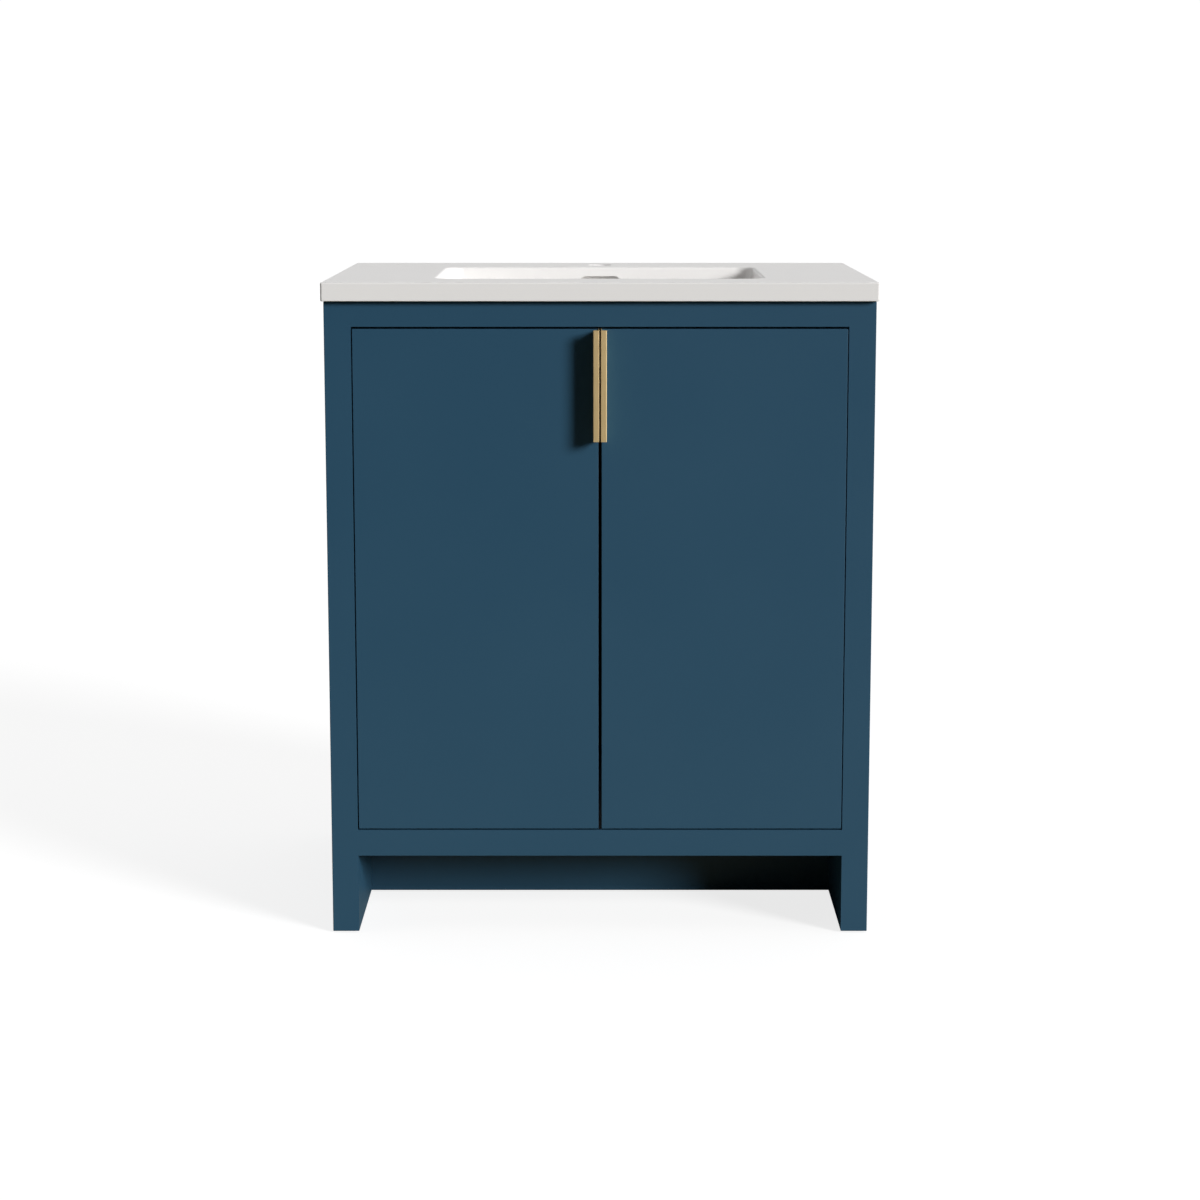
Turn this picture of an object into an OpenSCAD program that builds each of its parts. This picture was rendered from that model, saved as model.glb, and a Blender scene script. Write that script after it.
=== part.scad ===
// Bathroom vanity cabinet: a two-door cabinet on legs under a cast top with an integrated basin.
// +X is to the right, -Y is the front, +Z is up. Origin: centre of the footprint, on the floor.

/* [Countertop] */
// Width of the countertop
top_w = 762; // [740:1:800]
// Depth of the countertop
top_d = 558.8; // [540:1:600]
// Thickness of the countertop slab
top_t = 25.4; // [20:0.1:40]
// How far the countertop stands out in front of the doors
front_overhang = 12; // [5:1:20]
// Width of the basin opening
basin_w = 460; // [360:1:500]
// Front-to-back size of the basin opening
basin_l = 317; // [260:1:330]
// Strip of countertop in front of the basin
basin_front = 104; // [96:1:120]
// Depth of the basin below the top face
basin_depth = 132; // [110:1:150]
// Radius of the basin's upright corners
basin_corner_r = 25; // [15:1:40]
// Wall and floor thickness of the basin
basin_wall = 10; // [8:1:14]
// Diameter of the faucet hole
faucet_hole_d = 35; // [32:1:38]
// Distance of the faucet hole from the back edge
faucet_from_back = 70; // [55:1:80]
// Diameter of the drain hole
drain_hole_d = 45; // [42:1:48]

/* [Cabinet] */
// Width over the side panels
cab_w = 756; // [730:1:790]
// Thickness of a side panel
side_t = 37; // [30:1:40]
// Height of a side panel
side_h = 890; // [860:1:910]
// Height of the clear space under the bottom front rail
leg_clear = 112; // [90:1:130]
// Height of the bottom front rail
bottom_rail_h = 37.4; // [30:0.1:50]
// Height of the top front rail
top_rail_h = 34.5; // [30:0.1:50]
// Board thickness of doors, rails and panels
board_t = 18; // [16:1:19]
// How far the toe board is set back from the front
toe_recess = 205; // [120:5:260]
// Bottom of the plumbing openings
plumbing_z = 394; // [300:1:450]
// Height of the plumbing openings
plumbing_h = 107; // [80:1:150]
// Distance between the two wall screw holes
wall_hole_spacing = 406.4; // [300:0.1:410]

/* [Doors] */
// Gap between a door and a side panel
side_gap = 1.5; // [1.5:0.1:3]
// Gap between the two doors
centre_gap = 4.4; // [4.2:0.1:6]
// Gap above the doors
top_gap = 2.8; // [2:0.1:4]
// Gap below the doors
bottom_gap = 2; // [1.5:0.1:4]
// Distance of a hinge from the door's end
hinge_from_end = 100; // [80:1:150]

/* [Pulls] */
// Length of a pull
pull_l = 152.4; // [100:0.1:200]
// Width of a pull's front lip
pull_lip_w = 8.1; // [7.5:0.1:12]
// How far a pull stands out in front of the door
pull_reach = 28; // [20:1:35]
// Thickness of a pull's lip
pull_lip_t = 2; // [1.5:0.1:3]
// Thickness of a pull's web in the gap between the doors
pull_web_t = 1; // [0.8:0.1:1.2]

/* [Hidden] */
$fn = 48;
eps = 0.01;
glide_t = 2;
bead_t = 1;
side_z = glide_t;
side_top = side_z + side_h;
top_z = side_top + bead_t;
total_h = top_z + top_t;
front_y = -(top_d - front_overhang - pull_reach) / 2;
slab_y0 = front_y - front_overhang;
back_y = slab_y0 + top_d;
inner_x = cab_w / 2 - side_t;

// rails and panels
bottom_rail_z = leg_clear;
floor_z = leg_clear + bottom_rail_h;
top_rail_z = side_top - top_rail_h;
top_rail_t = 20;
stop_rail_h = 60;
back_rail_h = 90;
low_rail_h = 60;
back_panel_t = 6;
panel_y = back_y - board_t - back_panel_t;
panel_lap = 18;
plumbing_w = 140;
plumbing_web = 60;
wall_hole_z = side_top - 32;
wall_hole_d = 5;
toe_y = front_y + toe_recess;

// doors
door_z0 = floor_z + bottom_gap;
door_z1 = top_rail_z - top_gap;
door_x = inner_x - side_gap;
hinge_zs = [door_z0 + hinge_from_end, door_z1 - hinge_from_end];

// basin
basin_y0 = slab_y0 + basin_front;
basin_y1 = basin_y0 + basin_l;
basin_mid = (basin_y0 + basin_y1) / 2;
basin_floor = total_h - basin_depth;
bowl_bottom = basin_floor - basin_wall;
boss_d = 84;
boss_h = 16;
slot_w = 58;
slot_h = 14;
slot_z = total_h - 17 - slot_h / 2;
duct_w = 30;
duct_wall = 5;
duct_t = 12;

// dowels, bumpers, glides and blocks
dowel_d = 8;
dowel_l = 30;
bumper_d = 9;
bumper_t = 1.8;
glide_d = 26;
block_leg = 60;
bead_w = 8;
bead_inset = 6;

// concealed hinge, measured from the door's outer front corner: across the door, and into the cabinet
cup_d = 35;
cup_wall = 1;
cup_u = 21.5;
cup_deep = 12;
cup_flange_t = 1.2;
arm_pin = [36, 25];
cup_pin = [8.2, 16];
neck_v = 11;
pin_d = 2;
pin_fit = 0.06;
link_t = 2.2;
link_h = 10;
ear_t = 1.4;
ear_gap = 0.3;
arm_h = link_h + 2 * (ear_t + ear_gap);
nose_r = 2.6;
eye_r = 2;
plate_t = 4;
wing_t = 2.5;
plate_v = 55;
arm_screw_v = 70;
arm_back_v = 84;
arm_top_u = 12;
arm_low_u = plate_t - side_gap;
cup_pin_l = 20;
hinge_screw_d = 3.5;
cup_screw_pitch = 45;
cup_screw_in = 9.5;
plate_screw_pitch = 32;

// ---------- shared shapes ----------

// a board from its lowest to its highest corner
module board(low, high) {
    translate(low) cube(high - low);
}

// a cylinder along Y that starts at a point and runs towards the back
module rod_y(at, d, l) {
    translate(at) rotate([-90, 0, 0]) cylinder(d = d, h = l);
}

// a cylinder along X that starts at a point and runs to the right
module rod_x(at, d, l) {
    translate(at) rotate([0, 90, 0]) cylinder(d = d, h = l);
}

// children drawn on the left, or mirrored to the right
module on_side(side) {
    mirror([side == "right" ? 1 : 0, 0, 0]) children();
}

// an upright box with round corners
module round_box(low, high, r) {
    for (x = [low[0] + r, high[0] - r], y = [low[1] + r, high[1] - r])
        translate([x, y, low[2]]) cylinder(r = r, h = high[2] - low[2]);
    board([low[0] + r, low[1], low[2]], [high[0] - r, high[1], high[2]]);
    board([low[0], low[1] + r, low[2]], [high[0], high[1] - r, high[2]]);
}

// ---------- countertop ----------

module overflow_slot(extra) {
    reach = basin_wall + duct_t + 2 * extra;
    for (s = [-1, 1])
        rod_y([s * (slot_w - slot_h) / 2, basin_y1 - extra, slot_z], slot_h, reach);
    board([-(slot_w - slot_h) / 2, basin_y1 - extra, slot_z - slot_h / 2],
        [(slot_w - slot_h) / 2, basin_y1 - extra + reach, slot_z + slot_h / 2]);
}

module bowl_body() {
    g = basin_wall;
    round_box([-basin_w / 2 - g, basin_y0 - g, bowl_bottom],
        [basin_w / 2 + g, basin_y1 + g, total_h - 1], basin_corner_r + g);
    translate([0, basin_mid, bowl_bottom - boss_h]) cylinder(d = boss_d, h = boss_h + 1, $fn = 64);
    // outside of the overflow duct, down the back wall and forward to the drain
    board([-slot_w / 2 - duct_wall, basin_y1, bowl_bottom - boss_h],
        [slot_w / 2 + duct_wall, basin_y1 + g + duct_t + duct_wall, top_z + 1]);
    board([-duct_w / 2 - duct_wall, basin_mid, bowl_bottom - boss_h],
        [duct_w / 2 + duct_wall, basin_y1 + g, bowl_bottom + 1]);
}

module duct_space() {
    low = bowl_bottom - boss_h + duct_wall;
    high = bowl_bottom - 1;
    board([-slot_w / 2, basin_y1 + basin_wall, low],
        [slot_w / 2, basin_y1 + basin_wall + duct_t, slot_z + slot_h / 2]);
    board([-duct_w / 2, basin_mid, low], [duct_w / 2, basin_y1 + basin_wall + eps, high]);
}

module countertop() {
    color([0.86, 0.855, 0.845]) difference() {
        union() {
            board([-top_w / 2, slab_y0, top_z], [top_w / 2, back_y, total_h]);
            bowl_body();
        }
        round_box([-basin_w / 2, basin_y0, basin_floor],
            [basin_w / 2, basin_y1, total_h + 1], basin_corner_r);
        translate([0, basin_mid, bowl_bottom - boss_h - 1])
            cylinder(d = drain_hole_d, h = basin_wall + boss_h + 2, $fn = 64);
        translate([0, back_y - faucet_from_back, top_z - 1])
            cylinder(d = faucet_hole_d, h = top_t + 2, $fn = 64);
        overflow_slot(eps);
        duct_space();
    }
}

module silicone_bead() {
    color([0.2, 0.2, 0.2]) difference() {
        board([-cab_w / 2 + bead_inset, front_y + bead_inset, side_top],
            [cab_w / 2 - bead_inset, back_y - bead_inset, top_z]);
        board([-cab_w / 2 + bead_inset + bead_w, front_y + bead_inset + bead_w, side_top - 1],
            [cab_w / 2 - bead_inset - bead_w, back_y - bead_inset - bead_w, top_z + 1]);
    }
}

// ---------- carcass ----------

// places of the dowels on the left: where each one crosses the panel's inner face
function dowel_spots() = concat(
    [for (z = [9, 26]) [front_y + top_rail_t / 2, top_rail_z + z]],
    [for (z = [10, 28]) [front_y + board_t / 2, bottom_rail_z + z]],
    [for (z = [14, 46]) [front_y + top_rail_t + board_t / 2, side_top - stop_rail_h + z]],
    [for (z = [24, 90]) [toe_y + board_t / 2, z]],
    [for (z = [20, 70]) [back_y - board_t / 2, side_top - back_rail_h + z]],
    [for (z = [15, 45]) [back_y - board_t / 2, leg_clear + z]],
    [for (y = [90, 270, 450]) [front_y + y, floor_z - board_t / 2]]
);

module dowels(sides) {
    for (s = sides, p = dowel_spots())
        rod_x([s * inner_x - dowel_l / 2, p[0], p[1]], dowel_d, dowel_l);
}

// holes for the screws of one mounting plate, in the left side panel's inner face
module plate_screw_shanks(z) {
    for (dz = [-1, 1])
        rod_x([-inner_x - 12, front_y + plate_v, z + dz * plate_screw_pitch / 2],
            hinge_screw_d, 12 + wing_t);
}

module side_panel(side) {
    color([0.17, 0.31, 0.39]) on_side(side) difference() {
        board([-cab_w / 2, front_y, side_z], [-inner_x, back_y, side_top]);
        dowels([-1]);
        for (z = hinge_zs) plate_screw_shanks(z);
    }
}

module cross_board(low, high) {
    difference() {
        board([-inner_x, low[0], low[1]], [inner_x, high[0], high[1]]);
        dowels([-1, 1]);
    }
}

module bottom_panel() {
    color([0.17, 0.31, 0.39])
        cross_board([front_y + board_t, floor_z - board_t], [panel_y, floor_z]);
}

module top_front_rail() {
    color([0.17, 0.31, 0.39]) cross_board([front_y, top_rail_z], [front_y + top_rail_t, side_top]);
}

module bottom_front_rail() {
    color([0.17, 0.31, 0.39]) cross_board([front_y, bottom_rail_z], [front_y + board_t, floor_z]);
}

module top_stop_rail() {
    color([0.17, 0.31, 0.39]) cross_board([front_y + top_rail_t, side_top - stop_rail_h],
        [front_y + top_rail_t + board_t, side_top]);
}

module toe_board() {
    color([0.12, 0.24, 0.31])
        cross_board([toe_y, side_z], [toe_y + board_t, floor_z - board_t]);
}

// places of the back panel's screws, in the upper and in the lower back rail
function panel_screw_spots() = concat(
    [for (x = [-300, -100, 100, 300]) [x, side_top - back_rail_h + panel_lap / 2]],
    [for (x = [-300, -100, 100, 300]) [x, leg_clear + low_rail_h - 15]]
);

module panel_screws() {
    for (p = panel_screw_spots()) {
        rod_y([p[0], panel_y, p[1]], 3, back_panel_t + 12);
        rod_y([p[0], panel_y - 1.8, p[1]], 8, 1.8);
    }
}

module back_panel() {
    color([0.42, 0.27, 0.2]) difference() {
        board([-inner_x, panel_y, leg_clear],
            [inner_x, panel_y + back_panel_t, side_top - back_rail_h + panel_lap]);
        for (s = [-1, 1])
            translate([s * (plumbing_web + plumbing_w) / 2, panel_y + back_panel_t / 2,
                plumbing_z + plumbing_h / 2])
                cube([plumbing_w, back_panel_t + 2, plumbing_h], center = true);
        panel_screws();
    }
}

module top_back_rail() {
    color([0.17, 0.31, 0.39]) difference() {
        cross_board([back_y - board_t, side_top - back_rail_h], [back_y, side_top]);
        for (s = [-1, 1])
            rod_y([s * wall_hole_spacing / 2, back_y - board_t - 1, wall_hole_z],
                wall_hole_d, board_t + 2);
        panel_screws();
    }
}

module bottom_back_rail() {
    color([0.17, 0.31, 0.39]) difference() {
        cross_board([back_y - board_t, leg_clear], [back_y, leg_clear + low_rail_h]);
        panel_screws();
    }
}

module corner_block(x, y) {
    translate([x, y, side_top - board_t - 2]) linear_extrude(board_t)
        polygon([[0, 0], [block_leg, 0], [0, block_leg]]);
}

module corner_blocks() {
    color([0.76, 0.62, 0.42]) for (s = [0, 1]) mirror([s, 0, 0]) {
        corner_block(-inner_x, front_y + top_rail_t + board_t);
        translate([0, back_y - board_t, 0]) mirror([0, 1, 0])
            corner_block(-inner_x, 0);
    }
}

module carcass_dowels() {
    color([0.8, 0.66, 0.45]) dowels([-1, 1]);
}

module back_panel_screws() {
    color([0.7, 0.7, 0.68]) panel_screws();
}

module floor_glides() {
    color([0.1, 0.1, 0.1])
        for (x = [-1, 1], y = [front_y + 22, back_y - 22])
            translate([x * (cab_w - side_t) / 2, y, 0]) cylinder(d = glide_d, h = glide_t);
}

module door_bumpers() {
    color([0.85, 0.85, 0.83]) for (x = [-300, -40, 40, 300])
        rod_y([x, front_y + top_rail_t - bumper_t, door_z1 - 12], bumper_d, bumper_t);
}

// ---------- doors and pulls ----------

pull_z0 = door_z1 - pull_l;
pull_x = -centre_gap / 2;
pull_back_t = 1.5;
pull_back_w = 22;
pull_screw_in = 28;
pull_screw_zs = [pull_z0 + pull_screw_in, pull_z0 + pull_l / 2, pull_z0 + pull_l - pull_screw_in];
pull_screw_d = 3;

// the left pull's screws, driven from behind through its back flange into the door
module pull_screws(head) {
    for (z = pull_screw_zs) {
        rod_y([pull_x - 13, front_y + board_t - 10, z], pull_screw_d, 10 + pull_back_t);
        if (head) rod_y([pull_x - 13, front_y + board_t + pull_back_t, z], 6, 1.2);
    }
}

module pull_screw_set(side) {
    color([0.7, 0.7, 0.68]) on_side(side) pull_screws(true);
}

// the space that one hinge cup and its two screws need in the left door
module cup_space(z) {
    x = -door_x + cup_u;
    rod_y([x, front_y + board_t - cup_deep, z], cup_d, cup_deep + 1);
    for (dz = [-1, 1])
        rod_y([x + cup_screw_in, front_y + board_t - 11, z + dz * cup_screw_pitch / 2],
            hinge_screw_d, 12);
}

module door(side) {
    color([0.17, 0.31, 0.39]) on_side(side) difference() {
        board([-door_x, front_y, door_z0], [pull_x, front_y + board_t, door_z1]);
        for (z = hinge_zs) cup_space(z);
        pull_screws(false);
    }
}

module pull(side) {
    color([0.72, 0.6, 0.4]) on_side(side) difference() {
        union() {
            board([pull_x, front_y - pull_reach, pull_z0],
                [pull_x + pull_web_t, front_y + board_t + pull_back_t, door_z1]);
            board([pull_x + pull_web_t - pull_lip_w, front_y - pull_reach, pull_z0],
                [pull_x + pull_web_t, front_y - pull_reach + pull_lip_t, door_z1]);
            board([pull_x - pull_back_w, front_y + board_t, pull_z0],
                [pull_x + pull_web_t, front_y + board_t + pull_back_t, door_z1]);
        }
        pull_screws(false);
    }
}

// ---------- concealed hinges, drawn for the left door ----------

// a place in the part's frame, from a hinge place [across the door, into the cabinet]
function hinge_at(p) = [p[0] - door_x, p[1] + front_y];

// an upright pin through a hinge place, centred on a height
module pin(p, d, z, l) {
    at = hinge_at(p);
    translate([at[0], at[1], z - l / 2]) cylinder(d = d, h = l);
}

// an upright plate with a flat outline in hinge places, centred on a height
module hinge_plate(outline, z, h) {
    at = hinge_at([0, 0]);
    translate([at[0], at[1], z - h / 2]) linear_extrude(h) polygon(outline);
}

module cup_pin_bores(z) {
    pin(cup_pin, pin_d, z, cup_d);
}

module cup(side, z) {
    x = -door_x + cup_u;
    y0 = front_y + board_t;
    half = cup_screw_pitch / 2 + 6;
    color([0.78, 0.78, 0.78]) on_side(side) difference() {
        union() {
            rod_y([x, y0 - cup_deep, z], cup_d, cup_deep + cup_flange_t);
            board([x - 6, y0, z - half], [x + 16, y0 + cup_flange_t, z + half]);
        }
        rod_y([x, y0 - cup_deep + cup_wall, z], cup_d - 2 * cup_wall, cup_deep + cup_flange_t);
        cup_pin_bores(z);
        for (dz = [-1, 1])
            rod_y([x + cup_screw_in, y0 - 1, z + dz * cup_screw_pitch / 2], hinge_screw_d, 4);
    }
}

module cup_pins(side) {
    color([0.6, 0.6, 0.6]) on_side(side) for (z = hinge_zs) pin(cup_pin, pin_d, z, cup_pin_l);
}

module cup_screws(side) {
    y0 = front_y + board_t;
    color([0.7, 0.7, 0.68]) on_side(side)
        for (z = hinge_zs, dz = [-1, 1]) {
            at = [-door_x + cup_u + cup_screw_in, y0 - 11, z + dz * cup_screw_pitch / 2];
            rod_y(at, hinge_screw_d, 11 + cup_flange_t);
            rod_y(at + [0, 11 + cup_flange_t, 0], 7, 1.5);
        }
}

function unit(v) = v / norm(v);

// the point beside a path's corner, mitred so that the strip keeps its width
function beside(path, i, gap) =
    let (before = unit(path[max(i, 1)] - path[max(i, 1) - 1]),
        after = unit(path[min(i, len(path) - 2) + 1] - path[min(i, len(path) - 2)]),
        mean = unit(before + after),
        out = [-mean[1], mean[0]])
    path[i] + out * gap / (out * [-after[1], after[0]]);

// outline of a strip of even width along a path
function strip(path, w) = concat(
    [for (i = [0 : len(path) - 1]) beside(path, i, w / 2)],
    [for (i = [len(path) - 1 : -1 : 0]) beside(path, i, -w / 2)]);

// the link dips into the cup and comes out again to the arm, so that it clears the door's edge
module link(side, z) {
    dip = [[cup_pin[0] + 1.6, neck_v], [cup_pin[0] + 9.8, neck_v]];
    color([0.7, 0.7, 0.7]) on_side(side) difference() {
        union() {
            hinge_plate(strip([cup_pin, dip[0], dip[1], arm_pin], link_t), z, link_h);
            pin(cup_pin, 2 * eye_r, z, link_h);
            pin(arm_pin, 2 * nose_r - 0.4, z, link_h);
        }
        pin(cup_pin, pin_d + 2 * pin_fit, z, link_h + 2);
        pin(arm_pin, pin_d + 2 * pin_fit, z, link_h + 2);
    }
}

module arm_screw(z, head) {
    x = -door_x;
    rod_x([x + arm_low_u - 3, front_y + arm_screw_v, z], 4, arm_top_u - arm_low_u + 3);
    if (head) rod_x([x + arm_top_u, front_y + arm_screw_v, z], 8, 1.6);
}

// a channel with its back away from the side panel: two ears at the nose hold the link's pin
module arm(side, z) {
    u = arm_pin[0];
    v = arm_pin[1];
    web = ear_t;
    outer = [[arm_low_u, plate_v - 6], [u - nose_r, v + 8], [u - nose_r, v], [u + nose_r, v],
        [u + nose_r, v + 10], [arm_top_u, plate_v + 3], [arm_top_u, arm_back_v],
        [arm_low_u, arm_back_v]];
    hollow = [[arm_low_u - 2, plate_v - 14], [u - nose_r - 4, v - 6], [u + nose_r + 1, v - 6],
        [u + nose_r + 1, v + 4.5], [u + nose_r - web, v + 4.5], [u + nose_r - web, v + 9.4],
        [arm_top_u - web, plate_v + 2.4], [arm_top_u - web, arm_back_v + 1],
        [arm_low_u - 2, arm_back_v + 1]];
    color([0.8, 0.8, 0.8]) on_side(side) difference() {
        union() {
            hinge_plate(outer, z, arm_h);
            pin(arm_pin, 2 * nose_r, z, arm_h);
        }
        hinge_plate(hollow, z, arm_h - 2 * ear_t);
        pin(arm_pin, pin_d, z, arm_h + 2);
        arm_screw(z, false);
    }
}

module mounting_plate(side, z) {
    x = -inner_x;
    y = front_y + plate_v;
    half = plate_screw_pitch / 2 + 6;
    color([0.75, 0.75, 0.75]) on_side(side) difference() {
        union() {
            board([x, y - 7, z - half], [x + wing_t, y + 7, z + half]);
            board([x, y - 7, z - arm_h / 2], [x + plate_t, front_y + arm_back_v, z + arm_h / 2]);
        }
        plate_screw_shanks(z);
        arm_screw(z, false);
    }
}

module hinge_arm_pins() {
    color([0.6, 0.6, 0.6])
        for (side = ["left", "right"]) on_side(side)
            for (z = hinge_zs) pin(arm_pin, pin_d, z, arm_h + 0.6);
}

module hinge_arm_screws() {
    color([0.7, 0.7, 0.68])
        for (side = ["left", "right"]) on_side(side) for (z = hinge_zs) arm_screw(z, true);
}

module hinge_plate_screws() {
    color([0.7, 0.7, 0.68])
        for (side = ["left", "right"]) on_side(side) for (z = hinge_zs) {
            plate_screw_shanks(z);
            for (dz = [-1, 1])
                rod_x([-inner_x + wing_t, front_y + plate_v, z + dz * plate_screw_pitch / 2],
                    7, 1.5);
        }
}

// ---------- one line for each node ----------

countertop();
silicone_bead();
side_panel("left");  // left_side_panel
side_panel("right");  // right_side_panel
bottom_panel();
top_front_rail();
bottom_front_rail();
top_stop_rail();
toe_board();
back_panel();
top_back_rail();
bottom_back_rail();
corner_blocks();
carcass_dowels();
back_panel_screws();
floor_glides();
door_bumpers();
door("left");  // left_door
door("right");  // right_door
pull("left");  // left_pull
pull("right");  // right_pull
pull_screw_set("left");  // left_pull_screws
pull_screw_set("right");  // right_pull_screws
cup("left", hinge_zs[1]);  // left_upper_cup
cup("left", hinge_zs[0]);  // left_lower_cup
cup("right", hinge_zs[1]);  // right_upper_cup
cup("right", hinge_zs[0]);  // right_lower_cup
link("left", hinge_zs[1]);  // left_upper_link
link("left", hinge_zs[0]);  // left_lower_link
link("right", hinge_zs[1]);  // right_upper_link
link("right", hinge_zs[0]);  // right_lower_link
arm("left", hinge_zs[1]);  // left_upper_arm
arm("left", hinge_zs[0]);  // left_lower_arm
arm("right", hinge_zs[1]);  // right_upper_arm
arm("right", hinge_zs[0]);  // right_lower_arm
mounting_plate("left", hinge_zs[1]);  // left_upper_plate
mounting_plate("left", hinge_zs[0]);  // left_lower_plate
mounting_plate("right", hinge_zs[1]);  // right_upper_plate
mounting_plate("right", hinge_zs[0]);  // right_lower_plate
hinge_arm_pins();
cup_pins("left");  // left_cup_pins
cup_pins("right");  // right_cup_pins
hinge_arm_screws();
hinge_plate_screws();
cup_screws("left");  // left_cup_screws
cup_screws("right");  // right_cup_screws
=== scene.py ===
import math

import bmesh
import bpy
from mathutils import Matrix, Vector


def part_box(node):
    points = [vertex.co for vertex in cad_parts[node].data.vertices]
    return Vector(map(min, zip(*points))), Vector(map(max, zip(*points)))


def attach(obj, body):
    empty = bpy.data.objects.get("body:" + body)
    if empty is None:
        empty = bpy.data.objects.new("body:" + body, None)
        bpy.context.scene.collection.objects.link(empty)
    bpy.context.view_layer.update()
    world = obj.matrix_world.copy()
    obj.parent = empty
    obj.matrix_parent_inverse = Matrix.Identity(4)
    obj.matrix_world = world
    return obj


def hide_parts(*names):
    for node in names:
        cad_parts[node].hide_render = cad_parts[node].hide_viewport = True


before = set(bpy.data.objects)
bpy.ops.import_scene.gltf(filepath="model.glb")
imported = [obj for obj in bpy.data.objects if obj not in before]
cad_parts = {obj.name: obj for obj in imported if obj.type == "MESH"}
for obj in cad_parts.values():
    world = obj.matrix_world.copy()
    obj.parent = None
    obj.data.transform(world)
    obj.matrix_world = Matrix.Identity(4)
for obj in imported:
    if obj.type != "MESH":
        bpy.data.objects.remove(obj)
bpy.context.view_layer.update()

# ---------------------------------------------------------------- studio
# A plain pale room: a camera a little above the countertop, pitched down slightly, a far soft
# key light to the right of the doors, a white tent behind and above, and a pale floor.
scene = bpy.context.scene
scene.view_settings.view_transform = "Standard"

slab_low, slab_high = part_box("countertop")
camera_data = bpy.data.cameras.new("camera")
camera_data.lens = 79.2
camera_data.sensor_width = 36
camera_data.shift_y = -0.045
camera_data.clip_end = 400
camera = bpy.data.objects.new("camera", camera_data)
camera_distance = 3.6
camera_height = 1.12
camera_pitch = math.radians(8.9)
camera.location = (0, slab_low.y - camera_distance, camera_height)
camera.rotation_euler = (math.radians(90) - camera_pitch, 0, 0)
scene.collection.objects.link(camera)
scene.camera = camera


class Shade:
    """A value in a material. Arithmetic on it adds Math nodes, and node() adds any other one."""

    def __init__(self, tree, socket):
        self.tree = tree
        self.socket = socket

    def node(self, kind, inputs=None, out=0, **settings):
        """Adds a node, makes its settings, fills its inputs and gives one of its outputs."""
        made = self.tree.nodes.new(kind)
        for name, value in settings.items():
            setattr(made, name, value)
        for name, value in (inputs or {}).items():
            if isinstance(value, Shade):
                self.tree.links.new(value.socket, made.inputs[name])
            else:
                made.inputs[name].default_value = value
        return Shade(self.tree, made.outputs[out])

    def maths(self, operation, *values):
        return self.node("ShaderNodeMath", dict(enumerate(values)), operation=operation)

    def __add__(self, other):
        return self.maths("ADD", self, other)

    __radd__ = __add__

    def __mul__(self, other):
        return self.maths("MULTIPLY", self, other)

    __rmul__ = __mul__

    def __sub__(self, other):
        return self.maths("SUBTRACT", self, other)

    def __rsub__(self, other):
        return self.maths("SUBTRACT", other, self)

    def above(self, edge):
        return self.maths("GREATER_THAN", self, edge)

    def rise(self, start, end):
        """Smoothly from 0 at the start to 1 at the end."""
        return self.node("ShaderNodeMapRange", {"Value": self, "From Min": start, "From Max": end},
                         interpolation_type="SMOOTHSTEP")

    def axis(self, name):
        return self.node("ShaderNodeSeparateXYZ", {"Vector": self}, out=name)

    def noise(self, scale, detail=2.0, rough=0.5):
        """Noise over this vector, from 0 to 1, with the scale in features per metre."""
        return self.node("ShaderNodeTexNoise",
                         {"Vector": self, "Scale": scale, "Detail": detail, "Roughness": rough})

    def stretched(self, x, y, z):
        return self.node("ShaderNodeMapping", {"Vector": self, "Scale": (x, y, z)})

    def mixed(self, low, high):
        """A colour between two, by this value."""
        mix = self.tree.nodes.new("ShaderNodeMix")
        mix.data_type = "RGBA"
        for socket, value in ((mix.inputs[0], self), (mix.inputs[6], low), (mix.inputs[7], high)):
            if isinstance(value, Shade):
                self.tree.links.new(value.socket, socket)
            else:
                socket.default_value = (*value, 1)
        return Shade(self.tree, mix.outputs[2])


key_data = bpy.data.lights.new("key", "SUN")
key_data.energy = 3.75
key_data.angle = math.radians(18)
key = bpy.data.objects.new("key", key_data)
key.rotation_euler = Vector((-1.2, 1.0, -0.5)).to_track_quat("-Z", "Y").to_euler()
scene.collection.objects.link(key)

tent = bpy.data.worlds.new("white_tent")
scene.world = tent
tent.use_nodes = True
tent_nodes = tent.node_tree.nodes
towards = Shade(tent.node_tree, tent_nodes.new("ShaderNodeTexCoord").outputs["Generated"])
up = towards.axis("Z")
past_tent_mouth = towards.axis("Y").rise(-0.5, -0.22)
above_horizon = up.rise(-0.06, -0.02)
dimmer_overhead = 1 - 0.56 * up.rise(0.12, 0.4)
cloth = past_tent_mouth * above_horizon * dimmer_overhead
open_room = 0.025
tent.node_tree.links.new((cloth + open_room).socket, tent_nodes["Background"].inputs["Strength"])
tent_nodes["Background"].inputs["Color"].default_value = (1, 1, 1, 1)


def floor_disc(name, radius, height, albedo, glow):
    """A round floor with a plain matt finish."""
    mesh = bmesh.new()
    bmesh.ops.create_circle(mesh, cap_ends=True, segments=96, radius=radius)
    data = bpy.data.meshes.new(name)
    mesh.to_mesh(data)
    mesh.free()
    disc = bpy.data.objects.new(name, data)
    disc.location.z = height
    scene.collection.objects.link(disc)
    paint = bpy.data.materials.new(name)
    paint.use_nodes = True
    shader = paint.node_tree.nodes["Principled BSDF"]
    shader.inputs["Base Color"].default_value = (*albedo, 1)
    shader.inputs["Roughness"].default_value = 1.0
    shader.inputs["Specular IOR Level"].default_value = 0.0
    shader.inputs["Emission Color"].default_value = (1, 1, 1, 1)
    shader.inputs["Emission Strength"].default_value = glow
    data.materials.append(paint)
    return disc


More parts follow.
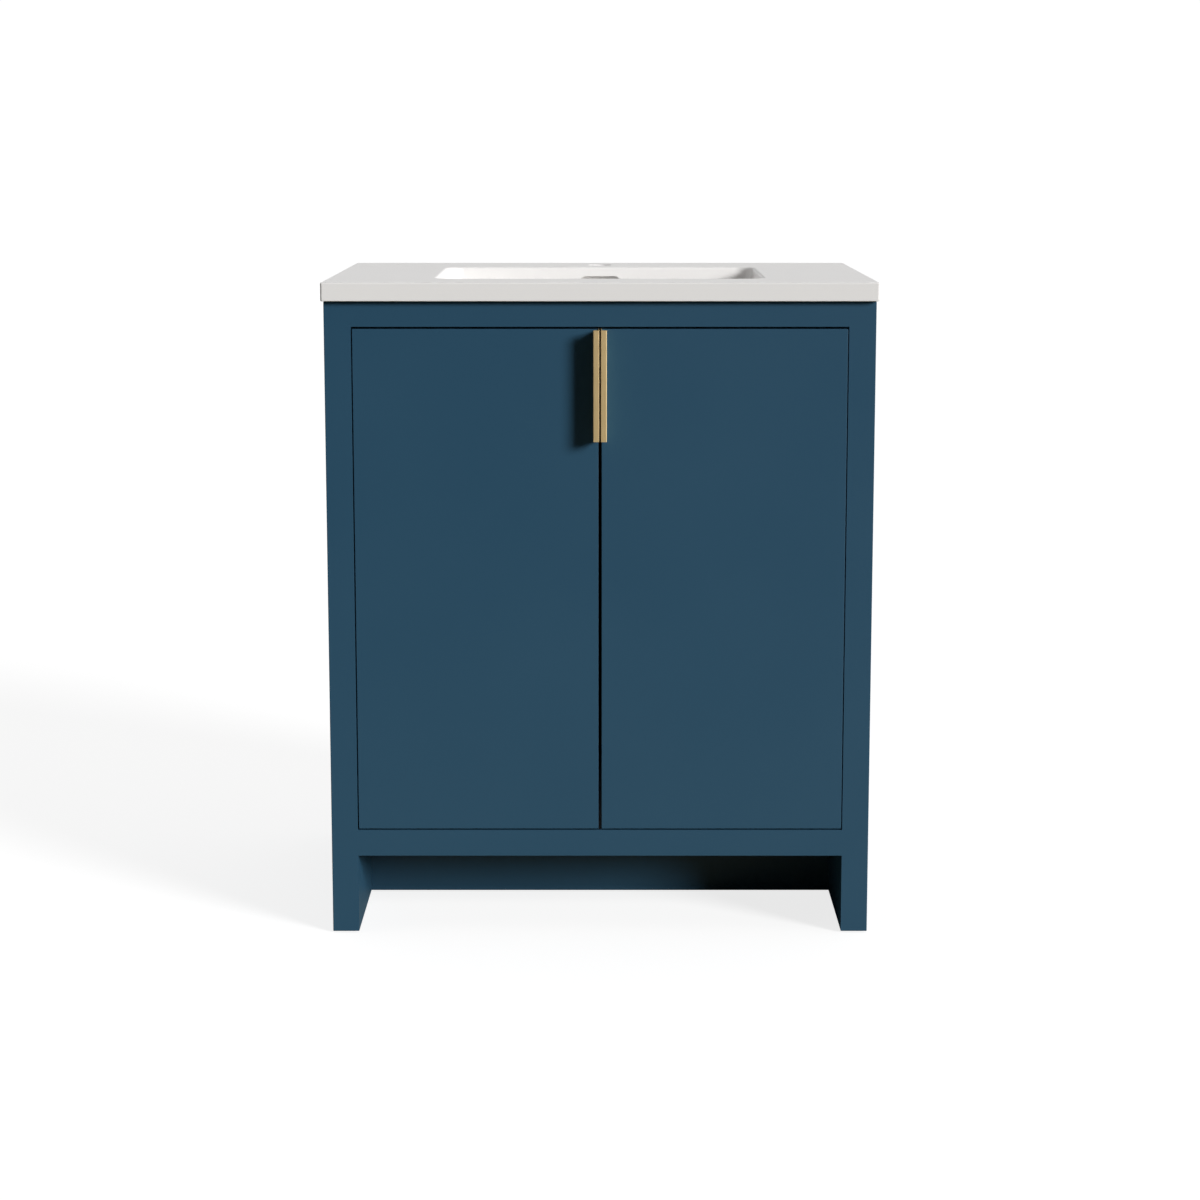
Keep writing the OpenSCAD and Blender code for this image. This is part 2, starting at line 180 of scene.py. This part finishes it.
MM = 0.001
pale_floor = floor_disc("pale_floor", 150, 0, (0.34, 0.34, 0.34), 0.8)
pale_floor.visible_diffuse = False
pale_floor.visible_glossy = False
pale_floor.visible_shadow = False
bounce_floor = floor_disc("bounce_floor", 1.8, -0.5 * MM, (0.29, 0.275, 0.19), 0)
bounce_floor.visible_camera = False


# ---------------------------------------------------------------- painted boards
# The carcass boards are fibreboard, cut to size, their arrises eased, and sprayed with a satin
# blue-grey lacquer that leaves a faint orange peel. Dowels and glue hold them together.
def new_finish(name, **constants):
    """A material, its shader, and the place on the piece in metres."""
    material = bpy.data.materials.new(name)
    material.use_nodes = True
    tree = material.node_tree
    shader = tree.nodes["Principled BSDF"]
    for socket, value in constants.items():
        shader.inputs[socket.replace("_", " ")].default_value = value
    place = Shade(tree, tree.nodes.new("ShaderNodeTexCoord").outputs["Object"])
    return material, shader, place


def feed(shader, socket, value):
    value.tree.links.new(value.socket, shader.inputs[socket])


def bump(shader, height, distance, strength=1.0):
    """Relief of that many metres, from a height of 0 to 1."""
    feed(shader, "Normal", height.node("ShaderNodeBump",
         {"Height": height, "Distance": distance, "Strength": strength}))


lacquer, shader, place = new_finish("satin_lacquer", Specular_IOR_Level=0.5)
tone = place.noise(5, 3)
peel = place.noise(650, 2)
feed(shader, "Base Color", tone.mixed((0.0195, 0.071, 0.126), (0.0215, 0.076, 0.132)))
feed(shader, "Roughness", tone * 0.06 + 0.37)
bump(shader, peel * 0.8 + place.noise(90, 2) * 0.6, 0.00006)


def new_piece(name, mesh, material, body, slot, *nodes):
    """Makes an object of a bmesh, dresses it and ties it to the frame."""
    data = bpy.data.meshes.new(name)
    bmesh.ops.recalc_face_normals(mesh, faces=mesh.faces)
    mesh.to_mesh(data)
    mesh.free()
    data.materials.append(material)
    data.shade_smooth()
    data.set_sharp_from_angle(angle=math.radians(50))
    piece = bpy.data.objects.new(name, data)
    scene.collection.objects.link(piece)
    piece.modifiers.new("even_normals", "WEIGHTED_NORMAL").keep_sharp = True
    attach(piece, body)
    if nodes:
        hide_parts(*nodes)
    return piece


def block(low, high, ease, sharp=lambda middle: False):
    """A box between two corners with its edges eased to a radius, except those left sharp."""
    mesh = bmesh.new()
    bmesh.ops.create_cube(mesh, size=1)
    low, high = Vector(low), Vector(high)
    size = high - low
    middle = (low + high) / 2
    for vertex in mesh.verts:
        vertex.co = Vector(c * s for c, s in zip(vertex.co, size)) + middle
    eased = [e for e in mesh.edges if not sharp((e.verts[0].co + e.verts[1].co) / 2)]
    bmesh.ops.bevel(mesh, geom=eased, offset=ease, segments=3, profile=0.5,
                    affect="EDGES", clamp_overlap=True)
    return mesh


front_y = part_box("left_side_panel")[0].y
inner_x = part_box("top_front_rail")[1].x


def at_filled_joint(middle):
    """True on the edges where the front boards meet flush, filled and painted over."""
    return abs(abs(middle.x) - inner_x) < 0.1 * MM and middle.y < front_y + 0.1 * MM


def at_board_end(middle):
    return abs(abs(middle.x) - inner_x) < 0.1 * MM


for side in ("left", "right"):
    new_piece(side + "_side_board", block(*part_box(side + "_side_panel"), 0.8 * MM, at_filled_joint),
              lacquer, "cabinet", "painted_board", side + "_side_panel")
for node in ("top_front_rail", "bottom_front_rail", "top_stop_rail", "bottom_panel", "toe_board",
             "top_back_rail", "bottom_back_rail"):
    new_piece(node + "_board", block(*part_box(node), 0.5 * MM, at_board_end), lacquer,
              "cabinet", "painted_board", node)

# ---------------------------------------------------------------- back panel
# Thin brown hardboard, smooth on its face, with two openings sawn for the pipes. It is screwed
# to the back rails, and the rails carry the wall screws.
hardboard, shader, place = new_finish("brown_hardboard", Roughness=0.62)
fibres = place.stretched(1, 1, 0.35).noise(260, 5, 0.7)
flecks = place.noise(1400, 2).above(0.66)
feed(shader, "Base Color",
     (place.noise(7, 4) * 0.6 + fibres * 0.4).mixed((0.13, 0.065, 0.036), (0.235, 0.128, 0.075)))
bump(shader, fibres * 0.7 + flecks * 0.3, 0.00008)
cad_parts["back_panel"].data.materials[0] = hardboard

# ---------------------------------------------------------------- countertop with basin
# One casting of white marble dust and resin under a satin gel coat: a slab with soft arrises,
# and a rectangular basin that falls towards its drain, with an overflow slot in the back wall.
gel_coat, shader, place = new_finish("cast_gel_coat", Specular_IOR_Level=0.45, Coat_Weight=0.1,
                                     Coat_Roughness=0.3)
cloud = place.noise(4, 4, 0.55)
feed(shader, "Base Color", cloud.mixed((0.840, 0.822, 0.808), (0.870, 0.857, 0.845)))
feed(shader, "Roughness", place.noise(30, 3) * 0.07 + 0.33)
bump(shader, place.noise(160, 2), 0.00004)

basin_w, front_deck, basin_l = 460 * MM, 104 * MM, 317 * MM
bowl_low = Vector((-basin_w / 2, slab_low.y + front_deck, 0))
bowl_high = Vector((basin_w / 2, slab_low.y + front_deck + basin_l, 0))
slab_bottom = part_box("silicone_bead")[1].z
basin_depth = 132 * MM
bowl_wall = 10 * MM
boss_bottom = slab_low.z
ARC, SIDE = 12, 12
RING = 4 * (ARC + SIDE)


def frame_ring(inset, radius, z):
    """Points round the basin opening, moved inwards by the inset, with round corners."""
    return round_ring(bowl_low.x + inset, bowl_low.y + inset,
                      bowl_high.x - inset, bowl_high.y - inset, radius, z)


def round_ring(x0, y0, x1, y1, radius, z):
    """A level rectangle with round corners, of ARC steps a corner and SIDE steps a side."""
    corners = ((x1 - radius, y0 + radius, -90), (x1 - radius, y1 - radius, 0),
               (x0 + radius, y1 - radius, 90), (x0 + radius, y0 + radius, 180))
    points = []
    for i, (cx, cy, start) in enumerate(corners):
        arc = [Vector((cx + radius * math.cos(math.radians(start + 90 * k / ARC)),
                       cy + radius * math.sin(math.radians(start + 90 * k / ARC)), z))
               for k in range(ARC + 1)]
        nx, ny, nstart = corners[(i + 1) % 4]
        after = Vector((nx + radius * math.cos(math.radians(nstart)),
                        ny + radius * math.sin(math.radians(nstart)), z))
        points += arc
        points += [arc[-1].lerp(after, k / SIDE) for k in range(1, SIDE)]
    return points


def circle_ring(radius, z):
    """A circle about the drain, with its points opposite those of the rectangles."""
    centre = (bowl_low + bowl_high) / 2
    points = []
    for i in range(RING):
        turn = math.radians(-45) + (i - ARC / 2) * math.tau / RING
        points.append(Vector((centre.x + radius * math.cos(turn),
                              centre.y + radius * math.sin(turn), z)))
    return points


def blend_ring(first, second, share, z):
    """A ring that share of the way from the first to the second, at one height."""
    return [Vector((*a.lerp(b, share).xy, z)) for a, b in zip(first, second)]


def loft(rings, closed=True):
    """A skin over rings of equally many points. A closed loft joins its last ring to its first."""
    mesh = bmesh.new()
    rows = [[mesh.verts.new(p) for p in ring] for ring in rings]
    pairs = list(zip(rows, rows[1:]))
    if closed:
        pairs.append((rows[-1], rows[0]))
    for a, b in pairs:
        for i in range(len(a)):
            j = (i + 1) % len(a)
            mesh.faces.new((a[i], a[j], b[j], b[i]))
    return mesh


def quarter(steps):
    """Angles from 0 to 90 degrees."""
    return [math.radians(90 * k / steps) for k in range(steps + 1)]


top = slab_high.z
drain_z = top - basin_depth
drain_r = 22.5 * MM
seat_r = 33 * MM
draft = 7 * MM
fillet = 24 * MM
rim_r = 4 * MM
arris = 1.5 * MM
corner_r = 25 * MM
drain_fall = 5 * MM
floor_edge = drain_z + drain_fall
floor_ring = frame_ring(draft + fillet, corner_r - fillet * 0.2, floor_edge)
rings = [circle_ring(drain_r, boss_bottom), circle_ring(drain_r, drain_z - 1 * MM),
         circle_ring(drain_r + 0.3 * MM, drain_z - 0.3 * MM),
         circle_ring(drain_r + 1 * MM, drain_z), circle_ring(seat_r - 1.5 * MM, drain_z),
         circle_ring(seat_r - 0.4 * MM, drain_z + 0.4 * MM),
         circle_ring(seat_r + 0.4 * MM, drain_z + 1.4 * MM),
         circle_ring(seat_r + 1.8 * MM, drain_z + 2 * MM)]
for share in (0.12, 0.28, 0.46, 0.64, 0.82):
    z = drain_z + 2 * MM + (drain_fall - 2 * MM) * share
    rings.append(blend_ring(circle_ring(seat_r + 1.8 * MM, z), floor_ring, share, z))
for a in quarter(8):
    inset = draft + fillet * (1 - math.sin(a))
    radius = corner_r - 3 * MM + (1 - math.sin(a)) * 4 * MM
    rings.append(frame_ring(inset, radius, floor_edge + fillet * (1 - math.cos(a))))
wall_base = floor_edge + fillet
wall_head = top - rim_r
for share in (0.33, 0.66):
    rings.append(frame_ring(draft * (1 - share), corner_r,
                            wall_base + (wall_head - wall_base) * share))
for a in quarter(5):
    rings.append(frame_ring(-rim_r * (1 - math.cos(a)), corner_r + rim_r * (1 - math.cos(a)),
                            wall_head + rim_r * math.sin(a)))


def slab_ring(inset, radius, z):
    return round_ring(slab_low.x + inset, slab_low.y + inset,
                      slab_high.x - inset, slab_high.y - inset, radius, z)


slab_corner = 3 * MM
for a in quarter(4):
    rings.append(slab_ring(arris * (1 - math.sin(a)), slab_corner, top - arris * (1 - math.cos(a))))
under = 1.2 * MM
for a in quarter(3):
    rings.append(slab_ring(under * (1 - math.cos(a)), slab_corner,
                           slab_bottom + under * (1 - math.sin(a))))
bowl_bottom = drain_z - bowl_wall
outer_fillet = 22 * MM
root_r = 3 * MM
rings.append(frame_ring(-bowl_wall - root_r, corner_r + bowl_wall + root_r, slab_bottom))
for a in quarter(3)[1:]:
    rings.append(frame_ring(-bowl_wall - root_r * (1 - math.sin(a)), corner_r + bowl_wall,
                            slab_bottom - root_r * (1 - math.cos(a))))
for a in quarter(6):
    rings.append(frame_ring(-bowl_wall + outer_fillet * (1 - math.cos(a)), corner_r + 8 * MM,
                            bowl_bottom + outer_fillet * (1 - math.sin(a))))
boss_r = 42 * MM
rings.append(circle_ring(boss_r + root_r, bowl_bottom))
rings.append(circle_ring(boss_r, bowl_bottom - root_r))
rings.append(circle_ring(boss_r, boss_bottom + 1 * MM))
rings.append(circle_ring(boss_r - 1 * MM, boss_bottom))
casting = loft(rings)


def bare_object(name, mesh):
    """An object for a cut, which is removed again after it."""
    data = bpy.data.meshes.new(name)
    bmesh.ops.recalc_face_normals(mesh, faces=mesh.faces)
    mesh.to_mesh(data)
    mesh.free()
    made = bpy.data.objects.new(name, data)
    scene.collection.objects.link(made)
    return made


def cut_away(mesh, *cutters):
    """The mesh less the cutters, all given as bmeshes."""
    body = bare_object("work", mesh)
    tools = [bare_object("cutter", cutter) for cutter in cutters]
    for tool in tools:
        step = body.modifiers.new("cut", "BOOLEAN")
        step.operation = "DIFFERENCE"
        step.solver = "EXACT"
        step.object = tool
    bpy.context.view_layer.update()
    evaluated = body.evaluated_get(bpy.context.evaluated_depsgraph_get())
    result = bmesh.new()
    result.from_mesh(evaluated.to_mesh())
    evaluated.to_mesh_clear()
    for used in (body, *tools):
        bpy.data.objects.remove(used)
    return result


def lathe(profile, centre, turn=None, segments=48):
    """A solid of revolution about an upright axis: (radius, height) points, closed at both ends."""
    mesh = bmesh.new()
    rows = [[mesh.verts.new((r * math.cos(math.tau * k / segments),
                             r * math.sin(math.tau * k / segments), z)) for k in range(segments)]
            for r, z in profile]
    for a, b in zip(rows, rows[1:]):
        for k in range(segments):
            n = (k + 1) % segments
            mesh.faces.new((a[k], a[n], b[n], b[k]))
    mesh.faces.new(rows[0][::-1])
    mesh.faces.new(rows[-1])
    place = Matrix.Translation(centre)
    if turn:
        place = place @ turn.to_matrix().to_4x4()
    bmesh.ops.transform(mesh, matrix=place, verts=mesh.verts)
    return mesh


faucet_from_back = 70 * MM
faucet_y = slab_high.y - faucet_from_back
hole_r = 17.5 * MM
flare = 0.8 * MM
hole_profile = [(hole_r, slab_bottom - 5 * MM), (hole_r, top - flare)]
hole_profile += [(hole_r + flare - flare * math.cos(a), top - flare + flare * math.sin(a))
                 for a in quarter(4)[1:]]
hole_profile.append((hole_r + flare, top + 5 * MM))
faucet_hole = lathe(hole_profile, (0, faucet_y, 0), segments=64)

slot_w, slot_h, slot_below_top = 58 * MM, 14 * MM, 13.5 * MM
slot_z = top - slot_below_top - slot_h / 2
slot_steps = 12
back_wall = bowl_high.y


def slot_ring(grow, y):
    """Outline of the overflow slot, grown by a margin, at one depth."""
    r = slot_h / 2 + grow
    half = (slot_w - slot_h) / 2
    points = []
    for side, start in ((1, -90), (-1, 90)):
        for k in range(slot_steps + 1):
            a = math.radians(start + 180 * k / slot_steps)
            points.append(Vector((side * half + r * math.cos(a), y, slot_z + r * math.sin(a))))
    return points


def capped_loft(rings):
    """A solid over rings, closed at both ends."""
    mesh = loft(rings, closed=False)
    mesh.verts.ensure_lookup_table()
    count = len(rings[0])
    mesh.faces.new([mesh.verts[i] for i in range(count)][::-1])
    mesh.faces.new([mesh.verts[i] for i in range(len(mesh.verts) - count, len(mesh.verts))])
    return mesh


wall_face = back_wall - draft * (slot_z - wall_head) / (wall_base - wall_head)
lip = 0.5 * MM
overflow_slot = capped_loft(
    [slot_ring(lip, wall_face - 6 * MM)]
    + [slot_ring(lip * (1 - math.sin(a)), wall_face + lip * (1 - math.cos(a))) for a in quarter(4)]
    + [slot_ring(0, back_wall + bowl_wall + 4 * MM)])
new_piece("countertop_casting", cut_away(casting, faucet_hole, overflow_slot), gel_coat,
          "cabinet", "cast_top", "countertop")

duct_low = Vector((-34 * MM, back_wall + bowl_wall - 1 * MM, boss_bottom))
duct_high = Vector((34 * MM, back_wall + bowl_wall + 17 * MM, slab_bottom + 1 * MM))
duct_room = block(duct_low + Vector((5 * MM, -5 * MM, 5 * MM)),
                  duct_high - Vector((5 * MM, 5 * MM, 0.5 * MM)), 1 * MM)
new_piece("overflow_duct_back", cut_away(block(duct_low, duct_high, 3 * MM), duct_room),
          gel_coat, "cabinet", "cast_top")
new_piece("overflow_duct_floor",
          block((-20 * MM, (bowl_low.y + bowl_high.y) / 2 + 38 * MM, boss_bottom),
                (20 * MM, duct_low.y + 3 * MM, bowl_bottom + 2 * MM), 3 * MM),
          gel_coat, "cabinet", "cast_top")

# ---------------------------------------------------------------- silicone bead
# The casting is bedded on a bead of silicone on top of the carcass, set back from the edges,
# so that a dark line shows under the countertop.
silicone, shader, place = new_finish("silicone", Roughness=0.45)
feed(shader, "Base Color", place.noise(60, 2).mixed((0.34, 0.34, 0.33), (0.42, 0.42, 0.41)))
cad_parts["silicone_bead"].data.materials[0] = silicone

# ---------------------------------------------------------------- doors
# Two inset slab doors of the same lacquered board. Each has two round recesses drilled in its
# back for the hinge cups.
turn_to_back = Vector((0, 1, 0)).to_track_quat("Z", "X")
for side in ("left", "right"):
    low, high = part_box(side + "_door")
    recesses = []
    for level in ("upper", "lower"):
        cup_low, cup_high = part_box(f"{side}_{level}_cup")
        cup_r = 17.5 * MM
        outer = cup_low.x if side == "left" else cup_high.x
        cup_x = outer + (cup_r if side == "left" else -cup_r)
        recesses.append(lathe([(cup_r, 0), (cup_r, 30 * MM)],
                              (cup_x, cup_low.y, (cup_low.z + cup_high.z) / 2), turn_to_back))
    new_piece(side + "_door_slab", cut_away(block(low, high, 0.6 * MM), *recesses), lacquer,
              side + "_door", "painted_board", side + "_door")

# ---------------------------------------------------------------- pulls
# Edge pulls folded from brass strip and brushed along their length: a flange behind the door,
# a thin web through the gap, and a lip in front for the fingertips.
brass, shader, place = new_finish("brushed_brass", Metallic=1.0)
strokes = place.stretched(1, 1, 0.02).noise(5200, 3, 0.6)
haze = place.noise(45, 3)
feed(shader, "Base Color", haze.mixed((0.78, 0.59, 0.305), (0.85, 0.66, 0.365)))
feed(shader, "Roughness", strokes * 0.12 + 0.53)
bump(shader, strokes, 0.00003)


def round_corners(points, steps=5):
    """An outline from (x, y, radius) corners, with an arc at each corner that has a radius."""
    outline = []
    for i, (x, y, r) in enumerate(points):
        here = Vector((x, y))
        if r == 0:
            outline.append(here)
            continue
        before = (Vector(points[i - 1][:2]) - here).normalized()
        after = (Vector(points[(i + 1) % len(points)][:2]) - here).normalized()
        half = before.angle(after) / 2
        reach = r / math.tan(half)
        centre = here + (before + after).normalized() * (r / math.sin(half))
        start = here + before * reach - centre
        sweep = start.angle_signed(here + after * reach - centre)
        for k in range(steps + 1):
            a = sweep * k / steps
            outline.append(centre + Matrix.Rotation(-a, 2) @ start)
    return outline


def extrusion(outline, z0, z1, ease=0.0):
    """An upright prism over an outline, with its end edges eased."""
    mesh = capped_loft([[Vector((*p, z0)) for p in outline], [Vector((*p, z1)) for p in outline]])
    if ease:
        ends = [e for e in mesh.edges if abs(e.verts[0].co.z - e.verts[1].co.z) < 1e-7]
        bmesh.ops.bevel(mesh, geom=ends, offset=ease, segments=2, profile=0.5, affect="EDGES",
                        clamp_overlap=True)
    return mesh


web_t, lip_t, lip_w, flange_t = 1 * MM, 2 * MM, 8.1 * MM, 1.5 * MM
for side, s in (("left", 1), ("right", -1)):
    low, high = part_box(side + "_pull")
    inner = high.x if side == "left" else -low.x
    tip = low.x if side == "left" else -high.x
    corners = [
        (inner, low.y, 0.5 * MM), (inner, high.y, 0.8 * MM), (tip, high.y, 0.5 * MM),
        (tip, high.y - flange_t, 0.5 * MM), (inner - web_t, high.y - flange_t, 0),
        (inner - web_t, low.y + lip_t, 1 * MM), (inner - lip_w, low.y + lip_t, 0.9 * MM),
        (inner - lip_w, low.y, 0.9 * MM)]
    outline = round_corners(corners)
    outline = [Vector((s * p.x, p.y)) for p in outline]
    new_piece(side + "_pull_strip", extrusion(outline, low.z, high.z, 0.3 * MM), brass,
              side + "_door", "brass_pull", side + "_pull")

# ---------------------------------------------------------------- concealed hinges
# Each hinge is pressed from steel strip and nickel plated: a cup pressed into the door, a bent
# link on two pins, an arm, and a mounting plate screwed to the side panel.
nickel, shader, place = new_finish("nickel_plate", Metallic=1.0)
feed(shader, "Base Color", place.noise(90, 3).mixed((0.55, 0.54, 0.52), (0.66, 0.65, 0.63)))
feed(shader, "Roughness", place.noise(400, 3) * 0.14 + 0.24)
bump(shader, place.noise(900, 2), 0.00003)


def press_formed(node, ease):
    """Dresses a hinge part in nickel and eases the edges that the press leaves round."""
    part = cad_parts[node]
    part.data.materials[0] = nickel
    part.modifiers.new("joined_seams", "WELD").merge_threshold = 0.01 * MM
    edge = part.modifiers.new("eased_edges", "BEVEL")
    edge.width = ease
    edge.segments = 2
    edge.limit_method = "ANGLE"
    edge.angle_limit = math.radians(50)
    edge.harden_normals = True


for side in ("left", "right"):
    for level in ("upper", "lower"):
        for part, ease in (("cup", 0.25), ("link", 0.3), ("arm", 0.3), ("plate", 0.3)):
            press_formed(f"{side}_{level}_{part}", ease * MM)
    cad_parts[side + "_cup_pins"].data.materials[0] = nickel
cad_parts["hinge_arm_pins"].data.materials[0] = nickel

# ---------------------------------------------------------------- screws
# Zinc-plated pan-head screws with a cross recess hold the hinges, the pulls and the back panel.
zinc, shader, place = new_finish("zinc_plate", Metallic=1.0)
feed(shader, "Base Color", place.noise(300, 3).mixed((0.5, 0.49, 0.47), (0.66, 0.65, 0.62)))
feed(shader, "Roughness", place.noise(700, 3) * 0.2 + 0.3)
bump(shader, place.noise(1500, 2), 0.00003)


def islands(node):
    """The low and high corner of each separate solid of a node."""
    mesh = bmesh.new()
    mesh.from_mesh(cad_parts[node].data)
    mesh.transform(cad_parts[node].matrix_world)
    bmesh.ops.remove_doubles(mesh, verts=mesh.verts, dist=0.001 * MM)
    left = set(mesh.verts)
    boxes = []
    while left:
        reached = [left.pop()]
        for vertex in reached:
            for edge in vertex.link_edges:
                other = edge.other_vert(vertex)
                if other in left:
                    left.discard(other)
                    reached.append(other)
        boxes.append((Vector(min(v.co[i] for v in reached) for i in range(3)),
                      Vector(max(v.co[i] for v in reached) for i in range(3))))
    mesh.free()
    return sorted(boxes, key=lambda box: tuple(round(c, 4) for c in box[0]))


def screw(head_r, head_t, shank_r, length):
    """A screw that points down Z, with its head's crown at 0 and a cross recess in the crown."""
    crown = [(head_r * math.sin(a), -head_t * 0.45 * (1 - math.cos(a))) for a in quarter(5)[1:]]
    profile = [(0.2 * MM, 0)] + crown + [(head_r, -head_t + 0.15 * MM),
                                         (head_r - 0.15 * MM, -head_t),
                                         (shank_r, -head_t), (shank_r, -length + shank_r),
                                         (shank_r * 0.3, -length)]
    body = lathe(profile, (0, 0, 0), segments=28)
    wide, narrow, deep = head_r * 0.52, head_r * 0.13, head_t * 0.75
    bars = []
    for w, h in ((wide, narrow), (narrow, wide)):
        bars.append(capped_loft([[Vector((x * w * k, y * h * k, z)) for x, y in
                                  ((-1, -1), (1, -1), (1, 1), (-1, 1))]
                                 for z, k in ((-deep, 0.55), (1 * MM, 1.15))]))
    return cut_away(body, *bars)


def screw_set(node, head_r, head_t, shank_r, outwards, body):
    """Screws in place of a node's, each with its head at the end that faces outwards."""
    boxes = islands(node)
    way = outwards(boxes[0])
    lie = max(range(3), key=lambda i: abs(way[i]))
    made = screw(head_r, head_t, shank_r, boxes[0][1][lie] - boxes[0][0][lie])
    shape = bpy.data.meshes.new("screw")
    made.to_mesh(shape)
    made.free()
    gathered = bmesh.new()
    for low, high in boxes:
        way = outwards((low, high))
        head = (low + high) / 2
        head[lie] = high[lie] if way[lie] > 0 else low[lie]
        copy = shape.copy()
        copy.transform(Matrix.Translation(head) @ way.to_track_quat("Z", "Y").to_matrix().to_4x4())
        gathered.from_mesh(copy)
        bpy.data.meshes.remove(copy)
    bpy.data.meshes.remove(shape)
    new_piece(node + "_set", gathered, zinc, body, "screw_steel", node)


def backwards(box):
    return Vector((0, 1, 0))


def forwards(box):
    return Vector((0, -1, 0))


def to_middle(box):
    return Vector((-1 if box[0].x > 0 else 1, 0, 0))


for side in ("left", "right"):
    screw_set(side + "_cup_screws", 3.5 * MM, 1.5 * MM, 1.75 * MM, backwards, side + "_door")
    screw_set(side + "_pull_screws", 3 * MM, 1.2 * MM, 1.5 * MM, backwards, side + "_door")
screw_set("hinge_arm_screws", 4 * MM, 1.6 * MM, 2 * MM, to_middle, "cabinet")
screw_set("hinge_plate_screws", 3.5 * MM, 1.5 * MM, 1.75 * MM, to_middle, "cabinet")
screw_set("back_panel_screws", 4 * MM, 1.8 * MM, 1.5 * MM, forwards, "cabinet")

# ---------------------------------------------------------------- wood inside the joints
# Fluted beech dowels glued into the boards, and four beech blocks glued across the upper
# corners of the carcass.
beech, shader, place = new_finish("plain_beech", Roughness=0.55)
grain = place.stretched(0.06, 1, 1).noise(420, 4, 0.65)
rays_in_wood = place.stretched(0.3, 1, 1).noise(1600, 2).above(0.62)
feed(shader, "Base Color",
     (grain * 0.8 + rays_in_wood * 0.2).mixed((0.66, 0.47, 0.28), (0.5, 0.32, 0.17)))
bump(shader, grain, 0.0001)
for node in ("corner_blocks", "carcass_dowels"):
    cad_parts[node].data.materials[0] = beech

# ---------------------------------------------------------------- glides and bumpers
# Nylon glides under the side panels keep them off a wet floor, and soft clear bumpers on the
# stop rail quieten the doors.
nylon, shader, place = new_finish("black_nylon", Roughness=0.5)
feed(shader, "Base Color", place.noise(300, 2).mixed((0.02, 0.02, 0.02), (0.035, 0.035, 0.035)))
clear_rubber, shader, place = new_finish("bumper_rubber", Roughness=0.35)
feed(shader, "Base Color", place.noise(300, 2).mixed((0.55, 0.55, 0.53), (0.66, 0.66, 0.64)))
low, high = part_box("floor_glides")
glide_r, glide_t = 13 * MM, high.z
glides = bmesh.new()
for x in (low.x + glide_r, high.x - glide_r):
    for y in (low.y + glide_r, high.y - glide_r):
        puck = lathe([(glide_r - 0.8 * MM, 0), (glide_r - 0.2 * MM, 0.4 * MM),
                      (glide_r, 1 * MM), (glide_r, glide_t)], (x, y, 0))
        spare = bpy.data.meshes.new("spare")
        puck.to_mesh(spare)
        puck.free()
        glides.from_mesh(spare)
        bpy.data.meshes.remove(spare)
new_piece("floor_glide_pucks", glides, nylon, "cabinet", "glide_nylon", "floor_glides")
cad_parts["door_bumpers"].data.materials[0] = clear_rubber
